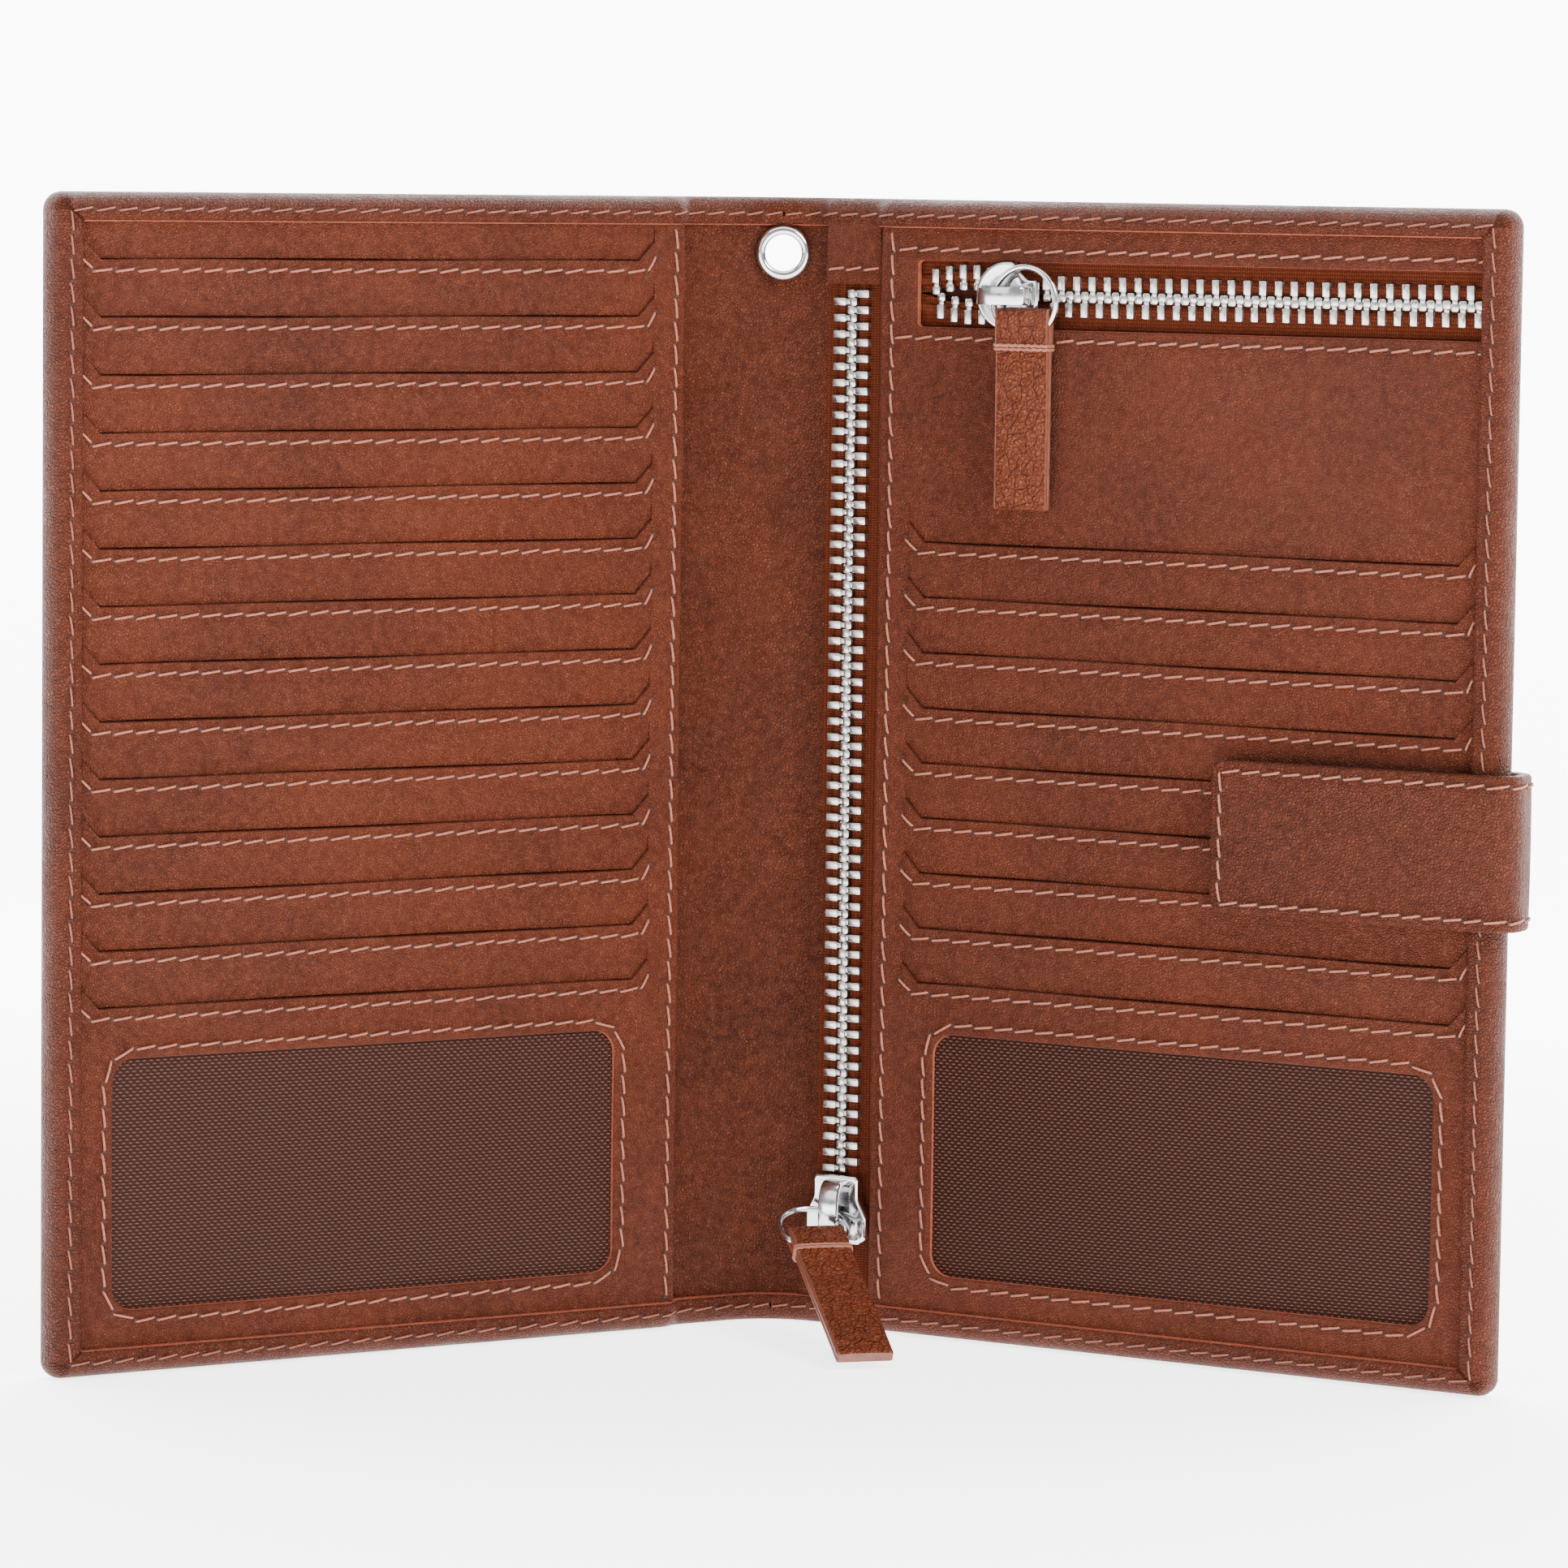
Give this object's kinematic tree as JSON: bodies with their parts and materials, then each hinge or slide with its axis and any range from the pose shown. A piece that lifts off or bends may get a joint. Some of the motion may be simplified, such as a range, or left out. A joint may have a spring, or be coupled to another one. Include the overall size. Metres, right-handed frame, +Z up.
{
  "type": "travel document organizer",
  "caption": "Leather travel wallet opened like a book: card slits and mesh windows on both covers, a zip beside the spine, a zipped coin pocket, an eyelet and a wrap-round strap.",
  "frame": {"origin": "on the lower edge, in the middle of the spine, in the plane of the two fold axes", "axes": "+X right as seen by a person looking into the open wallet, +Y away from that person, +Z up"},
  "size_m": [0.238, 0.073, 0.19],
  "materials": {
    "cover_leather": "fine pebble grain, semi-matt",
    "inner_leather": "fine pebble grain, semi-matt",
    "puller_leather": "bold creased grain, semi-matt",
    "strap_leather": "fine pebble grain, semi-matt",
    "pocket_fabric": "thin lining cloth, matt",
    "window_mesh": "woven mesh, matt with light dashes",
    "zip_tape": "woven twill, matt",
    "zip_teeth": "satin",
    "chrome_hardware": "polished",
    "board": "stiffening card, never seen",
    "keeper_steel": "never seen",
    "magnet": "never seen"
  },
  "bodies": {
    "spine": {"spine_cover": "cover_leather", "spine_lining": "inner_leather", "eyelet": "chrome_hardware", "eyelet_washer": "chrome_hardware"},
    "front": {"front_cover": "cover_leather", "front_board": "board", "keeper_plate": "keeper_steel", "left_card_panel": "inner_leather", "left_window_mesh": "window_mesh", "left_pocket_01": "pocket_fabric", "left_pocket_02": "pocket_fabric", "left_pocket_03": "pocket_fabric", "left_pocket_04": "pocket_fabric", "left_pocket_05": "pocket_fabric", "left_pocket_06": "pocket_fabric", "left_pocket_07": "pocket_fabric", "left_pocket_08": "pocket_fabric", "left_pocket_09": "pocket_fabric", "left_pocket_10": "pocket_fabric", "left_pocket_11": "pocket_fabric", "left_pocket_12": "pocket_fabric", "left_pocket_13": "pocket_fabric", "left_pocket_14": "pocket_fabric"},
    "back": {"back_cover": "cover_leather", "back_board": "board", "right_card_panel": "inner_leather", "right_window_mesh": "window_mesh", "right_pocket_01": "pocket_fabric", "right_pocket_02": "pocket_fabric", "right_pocket_03": "pocket_fabric", "right_pocket_04": "pocket_fabric", "right_pocket_05": "pocket_fabric", "right_pocket_06": "pocket_fabric", "right_pocket_07": "pocket_fabric", "right_pocket_08": "pocket_fabric", "right_pocket_09": "pocket_fabric", "coin_pocket_bag": "pocket_fabric", "coin_zip_tape_upper": "zip_tape", "coin_zip_tape_lower": "zip_tape", "coin_zip_teeth_upper": "zip_teeth", "coin_zip_teeth_lower": "zip_teeth", "spine_zip_tape_inner": "zip_tape", "spine_zip_tape_outer": "zip_tape", "spine_zip_teeth_inner": "zip_teeth", "spine_zip_teeth_outer": "zip_teeth", "spine_zip_bottom_stop": "zip_teeth", "spine_zip_end_tab": "inner_leather", "strap_anchor": "strap_leather"},
    "spine_slider": {"spine_zip_slider": "chrome_hardware"},
    "spine_ring": {"spine_zip_ring": "chrome_hardware"},
    "spine_puller": {"spine_zip_puller": "puller_leather"},
    "coin_slider": {"coin_zip_slider": "chrome_hardware"},
    "coin_ring": {"coin_zip_ring": "chrome_hardware"},
    "coin_puller": {"coin_zip_puller": "puller_leather"},
    "strap_turn": {"strap_edge": "strap_leather"},
    "strap_middle": {"strap_bridge": "strap_leather"},
    "strap_end": {"strap_tab": "strap_leather", "strap_tab_lining": "strap_leather", "tab_magnet": "magnet"}
  },
  "joints": [
    {"name": "front_fold", "type": "hinge", "parent": "spine", "child": "front", "pos_m": [-0.008, 0, 0], "axis": [0, 0, 1], "range_deg": [-29.5, 60.5]},
    {"name": "back_fold", "type": "hinge", "parent": "spine", "child": "back", "pos_m": [0.008, 0, 0], "axis": [0, 0, -1], "range_deg": [-29.5, 43]},
    {"name": "spine_zip_slide", "type": "slide", "parent": "back", "child": "spine_slider", "axis": [0, 0, 1], "range_m": [0, 0.144]},
    {"name": "spine_ring_turn", "type": "hinge", "parent": "spine_slider", "child": "spine_ring", "pos_m": [0.01009, -0.00727, 0.0196], "axis": [0.828, -0.4685, -0.3082], "range_deg": [-76, 65]},
    {"name": "spine_puller_turn", "type": "hinge", "parent": "spine_ring", "child": "spine_puller", "pos_m": [0.00695, -0.01174, 0.01795], "axis": [0.1058, -0.4092, 0.9063], "range_deg": [-80, 5]},
    {"name": "coin_zip_slide", "type": "slide", "parent": "back", "child": "coin_slider", "axis": [0.8704, -0.4924, 0], "range_m": [-0.01, 0.074]},
    {"name": "coin_ring_turn", "type": "hinge", "parent": "coin_slider", "child": "coin_ring", "pos_m": [0.03461, -0.02201, 0.1736], "axis": [0, 0, 1], "range_deg": [-100, 0]},
    {"name": "coin_puller_turn", "type": "hinge", "parent": "coin_ring", "child": "coin_puller", "pos_m": [0.03957, -0.02481, 0.1736], "axis": [0.4924, 0.8704, 0], "range_deg": [-55, 3]},
    {"name": "strap_root", "type": "hinge", "parent": "back", "child": "strap_turn", "pos_m": [0.11891, -0.06126, 0], "axis": [0, 0, -1], "range_deg": [-110, 0]},
    {"name": "strap_bend", "type": "hinge", "parent": "strap_turn", "child": "strap_middle", "pos_m": [0.11561, -0.06709, 0], "axis": [0, 0, 1], "range_deg": [0, 90]},
    {"name": "strap_tip", "type": "hinge", "parent": "strap_middle", "child": "strap_end", "pos_m": [0.10526, -0.06123, 0], "axis": [0, 0, 1], "range_deg": [-90, 0]}
  ],
  "couplings": [
    {"joint": "strap_tip", "follows": "strap_bend", "ratio": -1}
  ]
}
